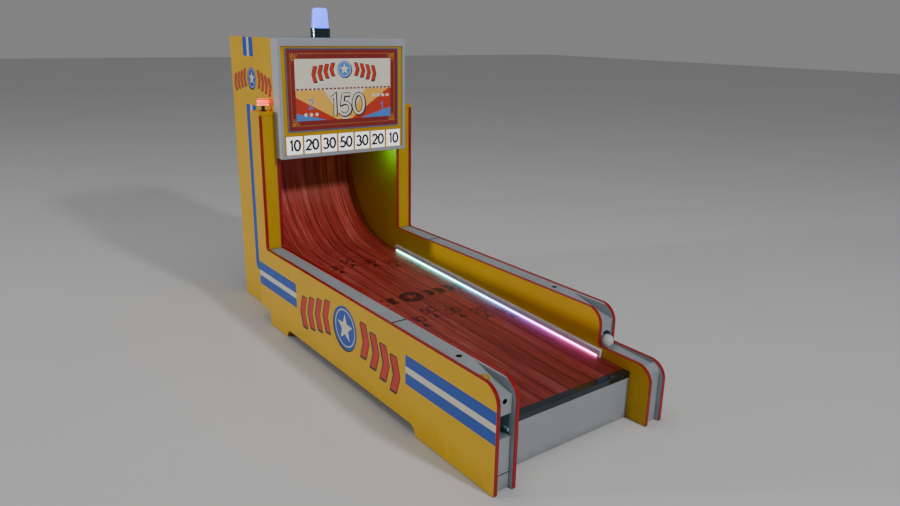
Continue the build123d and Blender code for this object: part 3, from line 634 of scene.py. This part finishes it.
def side_bands(sign):
    """Blue and cream bands on an outer panel, and its badge."""
    tag = "left" if sign < 0 else "right"
    surface = on_side(OUTER_X, sign)
    front_start = LEFT_BAND_START if sign < 0 else RIGHT_BAND_START
    runs = {"front": (front_start, FRONT_BAND_STOP), "rear": REAR_BAND}
    for end, (start, stop) in runs.items():
        blues = [rectangle((start, BAND[0]), (stop, BAND[1])),
                 rectangle((start, BAND[2]), (stop, BAND[3]))]
        printed(f"{tag}_{end}_bands_blue", blues, surface, print_blue)
        printed(f"{tag}_{end}_band_cream", [rectangle((start, BAND[1]), (stop, BAND[2]))],
                surface, print_cream)
    badge(f"{tag}_panel", surface, 1237.0, 322.0, radius=122.0, reach=540.0)


# Depths of the edges of the tower's stripes, and their ends above and below its badge.
STRIPE = (2514.0, 2578.0, 2611.0, 2675.0)
UPPER_STRIPE = (1660.0, 1776.0)
LOWER_STRIPE_TOP = 1360.0
STRIPE_FRONT = 2367.0
BEND = 40.0


def tower_stripes(sign):
    """Stripes down a tower side, turning forward at the foot to meet the panel's bands."""
    tag = "left" if sign < 0 else "right"
    surface = on_side(TOWER_X, sign)
    shapes = {"blue": [], "cream": []}
    for index, ink_name in enumerate(("blue", "cream", "blue")):
        near, far = STRIPE[index], STRIPE[index + 1]
        bottom, top = BAND[2 - index], BAND[3 - index]
        shapes[ink_name].append(rectangle((near, UPPER_STRIPE[0]), (far, UPPER_STRIPE[1])))
        bend = arc((far - BEND, bottom + BEND), (BEND, BEND), 0, -90, 8)
        shapes[ink_name].append([(near, LOWER_STRIPE_TOP), (near, top), (STRIPE_FRONT, top),
                                 (STRIPE_FRONT, bottom)] + bend[::-1] + [(far, LOWER_STRIPE_TOP)])
    printed(f"{tag}_tower_stripes_blue", shapes["blue"], surface, print_blue)
    printed(f"{tag}_tower_stripe_cream", shapes["cream"], surface, print_cream)
    badge(f"{tag}_tower", surface, 2556.0, 1528.0, radius=66.0, reach=298.0)


for sign in (-1, 1):
    side_bands(sign)
    tower_stripes(sign)


# -------------------------------------------------------------- alley markings

# Values from the middle column outward.
VALUES = ("50", "30", "20", "10")
COLUMNS = range(-3, 4)
ROW_PITCH = 125.5
ROW_STEP = 76.0
ARROW = [(0, 38), (26, -34), (0, -14), (-26, -34)]
ARROW_GAP = 84.0
ALLEY_BADGE = (29, 1462)


def alley_row(tag, start):
    """A chevron of numbers, each with an arrow in front of it, over the boards."""
    shapes = []
    for column in COLUMNS:
        x = column * ROW_PITCH
        at = start - abs(column) * ROW_STEP
        shapes += digits(VALUES[abs(column)], (x, at), height=74.0, weight=0.13, wide=1.02)
        shapes.append(moved(ARROW, x, at - ARROW_GAP))
    printed(f"alley_{tag}_row", shapes, on_alley, ink)


alley_row("front", 1250.0)
alley_row("rear", 2195.0)
alley_bars = speed_bars(*ALLEY_BADGE, first=104, last=400, height=86, grow=0.1)
printed("alley_badge_disc", [disc(*ALLEY_BADGE, 74)], on_alley, ink)
printed("alley_badge_bars", alley_bars, on_alley, ink)
printed("alley_badge_star", [star(*ALLEY_BADGE, 48)], on_alley, boards, PRINT)


# ------------------------------------------------------------------ score head

screen_face = on_front(SCREEN_Y)
PICTURE_LEFT, PICTURE_RIGHT = -334.0, 334.0
PICTURE_LOW, PICTURE_HIGH = 1293.0, 1659.0
# Edges of the divider across the picture, and of the dashes in it.
DIVIDER_LOW, DIVIDER_HIGH = 1475.0, 1487.0
DASH_LOW, DASH_HIGH = 1476.0, 1486.0
DASH_COUNT = 24
SUN = (0.0, 1264.0)
SUN_REACH = 1500.0


def clipped(shape, low, high):
    """A convex shape cut to a rectangle."""
    sides = ((0, low[0], 1), (0, high[0], -1), (1, low[1], 1), (1, high[1], -1))
    for axis, limit, keep in sides:
        kept = []
        for i, here in enumerate(shape):
            before = shape[i - 1]
            inside = keep * (here[axis] - limit) >= 0
            was_inside = keep * (before[axis] - limit) >= 0
            if inside != was_inside:
                share = (limit - before[axis]) / (here[axis] - before[axis])
                kept.append(tuple(before[k] + share * (here[k] - before[k]) for k in (0, 1)))
            if inside:
                kept.append(here)
        shape = kept
    return shape


def ray(start, end):
    """A beam from the sun point between two angles, cut to the lower picture."""
    points = [SUN]
    for angle in (start, end):
        turn = math.radians(angle)
        points.append((SUN[0] + SUN_REACH * math.cos(turn), SUN[1] + SUN_REACH * math.sin(turn)))
    return clipped(points, (PICTURE_LEFT, PICTURE_LOW), (PICTURE_RIGHT, DIVIDER_LOW))


def on_screen(name, shapes, look, base=0.0):
    """Print on the screen's face."""
    printed(name, shapes, screen_face, look, base)


upper = rectangle((PICTURE_LEFT, DIVIDER_HIGH), (PICTURE_RIGHT, PICTURE_HIGH))
divider = rectangle((PICTURE_LEFT, DIVIDER_LOW), (PICTURE_RIGHT, DIVIDER_HIGH))
dash = (PICTURE_RIGHT - PICTURE_LEFT) / DASH_COUNT
dashes = [rectangle((PICTURE_LEFT + (i + 0.2) * dash, DASH_LOW),
                    (PICTURE_LEFT + (i + 0.8) * dash, DASH_HIGH)) for i in range(DASH_COUNT)]
on_screen("picture_upper", [upper], screen_cream)
on_screen("picture_white_ray", [ray(55.5, 124.5)], screen_cream)
on_screen("picture_sun_rays", [ray(33.5, 55.5), ray(124.5, 153.0)], screen_sun)
on_screen("picture_fire_rays", [ray(14.8, 33.5), ray(153.0, 167.5)], screen_fire)
on_screen("picture_blue_rays", [ray(4.0, 14.8), ray(167.5, 176.0)], screen_blue)
on_screen("picture_dash_band", [divider], screen_cream)
on_screen("picture_dashes", dashes, screen_dash, PRINT)
badge("picture", screen_face, 0.0, 1596.0, radius=50.0, reach=229.0, colors=LIT, base=PRINT, grow=0.22)

SCORE = {"number": "150", "centre": (12.0, 1382.0), "height": 132.0, "wide": 1.12}
SHADOW = 4.0
score_edge = digits(weight=0.19, **SCORE)
on_screen("score_shadow", [moved(shape, SHADOW, -SHADOW) for shape in score_edge], print_dark, PRINT)
on_screen("score_edge", score_edge, print_dark, PRINT * 2)
on_screen("score_face", digits(weight=0.11, **SCORE), screen_cream, PRINT * 3)

BALL_PIP = (-272.0, 1329.0)
BALL_PIP_PITCH = 37.0
TURN_PIP = (196.0, 1422.0)
TURN_PIP_SIZE = (22.0, 16.0)
TURN_PIP_PITCH = 34.0
counters = digits("2", (-235.0, 1393.0), height=60.0, weight=0.13, wide=1.0)
counters += digits("1", (266.0, 1355.0), height=72.0, weight=0.12, wide=1.0)
ball_pips = [disc(BALL_PIP[0] + BALL_PIP_PITCH * i, BALL_PIP[1], 11.0, 32) for i in range(3)]
turn_pip = rectangle(TURN_PIP, (TURN_PIP[0] + TURN_PIP_SIZE[0], TURN_PIP[1] + TURN_PIP_SIZE[1]))
turn_pips = [moved(turn_pip, TURN_PIP_PITCH * i, 0.0) for i in range(4)]
on_screen("counter_digits", counters, screen_blue, PRINT)
on_screen("counter_ball_pips", ball_pips, screen_cream, PRINT)
on_screen("counter_turn_pips", turn_pips, screen_cream, PRINT)

BORDER_LEFT, BORDER_RIGHT = -362.0, 362.0
BORDER_LOW, BORDER_HIGH = 1263.0, 1690.0
CORNERS = ((BORDER_LEFT, BORDER_LOW, 1, 1), (BORDER_RIGHT, BORDER_LOW, -1, 1),
           (BORDER_LEFT, BORDER_HIGH, 1, -1), (BORDER_RIGHT, BORDER_HIGH, -1, -1))
# Radius and width of each ring of a corner fan.
FAN_RINGS = ((6.0, 11.0), (20.0, 8.0), (34.0, 6.0), (45.0, 3.0))
FAN_REACH = 50.0
GOLD_HALF = 1.2


def corner_fan(x, y, side, rise):
    """Stepped fan ornament in a corner of the border."""
    shapes = []
    for radius, width in FAN_RINGS:
        path = arc((0, 0), (radius, radius), 0, 90, 8)
        shapes.append([(x + side * a, y + rise * b) for a, b in ribbon(path, width)])
    return shapes


gold = []
for corner in CORNERS:
    gold += corner_fan(*corner)
for y in (BORDER_LOW, BORDER_HIGH):
    gold.append(rectangle((BORDER_LEFT + FAN_REACH, y - GOLD_HALF),
                          (BORDER_RIGHT - FAN_REACH, y + GOLD_HALF)))
for x in (BORDER_LEFT, BORDER_RIGHT):
    gold.append(rectangle((x - GOLD_HALF, BORDER_LOW + FAN_REACH),
                          (x + GOLD_HALF, BORDER_HIGH - FAN_REACH)))
on_screen("border_gold", gold, screen_gold)

TILE_PITCH = 118.0
TILE_HALF = 52.7
# Width of a tile's gold frame at its sides, and above and below it.
FRAME_SIDE = 3.2
FRAME_END = 3.0
FRAME_LIFT = 0.0008
tile_foot, tile_head = TILE_LOW.z / MM, TILE_HIGH.z / MM
tile_middle = (tile_foot + tile_head) / 2
frame_foot, frame_head = tile_foot - FRAME_END, tile_head + FRAME_END
numbers = []
frames = []
for column in COLUMNS:
    x = column * TILE_PITCH
    left, right = x - TILE_HALF, x + TILE_HALF
    numbers += digits(VALUES[abs(column)], (x, tile_middle), height=66.0, weight=0.20, wide=1.08)
    frames.append(rectangle((left - FRAME_SIDE, frame_foot), (left, frame_head)))
    frames.append(rectangle((right, frame_foot), (right + FRAME_SIDE, frame_head)))
    frames.append(rectangle((left, tile_head), (right, frame_head)))
    frames.append(rectangle((left, frame_foot), (right, tile_foot)))
printed("tile_numbers", numbers, on_front(TILE_LOW.y), print_dark)
printed("tile_frames", frames, on_front(PANEL_Y), screen_gold, FRAME_LIFT)


# ---------------------------------------------- painted shade in the cover seams and the toe gap, and washers

RAIL_INNER, RAIL_OUTER = 444.0, 525.0
LEFT_SEAM = 804.5
RIGHT_SEAM = 1871.5
SEAM_SHADE_HALF = 5.0
TOE_DEPTH = 24.0
TOE_GAP_SHADE = (75.0, 79.0)
SCREW_X = 484.5
LEFT_SCREW = 331.0
RIGHT_SCREW = 731.0
WASHER = 14.0

# The black strips over the cover seams and the toe gap are painted shade: they stand in for the shadow
# inside the narrow gaps.
seam_shade_strips = [rectangle((-RAIL_OUTER, LEFT_SEAM - SEAM_SHADE_HALF), (-RAIL_INNER, LEFT_SEAM + SEAM_SHADE_HALF)),
         rectangle((RAIL_INNER, RIGHT_SEAM - SEAM_SHADE_HALF), (RAIL_OUTER, RIGHT_SEAM + SEAM_SHADE_HALF))]
toe_gap_shade_strip = rectangle((-RAIL_OUTER, TOE_GAP_SHADE[0]), (-RAIL_INNER, TOE_GAP_SHADE[1]))
washers = [disc(-SCREW_X, LEFT_SCREW, WASHER, 40), disc(SCREW_X, RIGHT_SCREW, WASHER, 40)]
printed("cover_seam_painted_shade", seam_shade_strips, on_cover, screw_black_and_painted_shade)
printed("toe_gap_painted_shade", [toe_gap_shade_strip], on_front(depth(TOE_DEPTH)), screw_black_and_painted_shade)
printed("screw_washers", washers, on_cover, screw_black_and_painted_shade)


# ------------------------------------------------------------ camera and studio

SENSOR_WIDTH = 36.0
FOCAL_LENGTH = 28.903
CAMERA_PLACE = (-2.2421, -3.3556, 1.8477)
CAMERA_ANGLES = (72.7403, -1.0443, -36.822)

camera = bpy.data.cameras.new("camera")
camera.sensor_width = SENSOR_WIDTH
camera.lens = FOCAL_LENGTH
camera_object = bpy.data.objects.new("camera", camera)
camera_object.location = CAMERA_PLACE
camera_object.rotation_euler = [math.radians(angle) for angle in CAMERA_ANGLES]
bpy.context.scene.collection.objects.link(camera_object)
bpy.context.scene.camera = camera_object


def area_light(name, place, target, size, power, tint=(1, 1, 1)):
    """A soft square lamp that faces a target."""
    lamp = bpy.data.lights.new(name, "AREA")
    lamp.size = size
    lamp.energy = power
    lamp.color = tint
    made = bpy.data.objects.new(name, lamp)
    made.location = place
    made.rotation_euler = (Vector(target) - Vector(place)).to_track_quat("-Z", "Y").to_euler()
    bpy.context.scene.collection.objects.link(made)


area_light("side", (-11.0, 5.4, 1.70), (0, 0, 0.7), size=0.85, power=690)
area_light("front", (1.5, -10.8, 7.1), (0, 0.3, 0.6), size=0.9, power=610)
area_light("top", (-0.6, 0.0, 5.0), (0, 0, 0.5), size=3.0, power=46)

# Helps the lit green lamp to tint the inner wall beside it.
LAMP_PLACE = (0.30, depth(2262), 1.055)
LAMP_TARGET = (0.424, depth(2330), 1.01)
LAMP_TINT = (0.12, 1, 0.05)
area_light("green_lamp", LAMP_PLACE, LAMP_TARGET, size=0.03, power=0.34, tint=LAMP_TINT)

SKY_STRENGTH = 0.23
world = bpy.data.worlds.new("studio")
world.use_nodes = True
sky = world.node_tree.nodes["Background"].inputs
sky["Color"].default_value = (1.0, 1.0, 1.0, 1)
sky["Strength"].default_value = SKY_STRENGTH
bpy.context.scene.world = world

FLOOR_REACH = 40.0
FLOOR_DROP = 0.0005
FLOOR_TONES = ((0.68, 0.68, 0.68, 1), (0.66, 0.66, 0.665, 1))
floor_corners = rectangle((-FLOOR_REACH, -FLOOR_REACH), (FLOOR_REACH, FLOOR_REACH))
floor_mesh = bpy.data.meshes.new("floor")
floor_mesh.from_pydata([(x, y, 0) for x, y in floor_corners], [], [(0, 1, 2, 3)])
floor_look = Look("studio_floor", Roughness=0.8)
floor_look.color(tinted(floor_look, *FLOOR_TONES, 0.6))
floor_mesh.materials.append(floor_look.material)
floor = bpy.data.objects.new("floor", floor_mesh)
floor.location.z = -FLOOR_DROP
bpy.context.scene.collection.objects.link(floor)
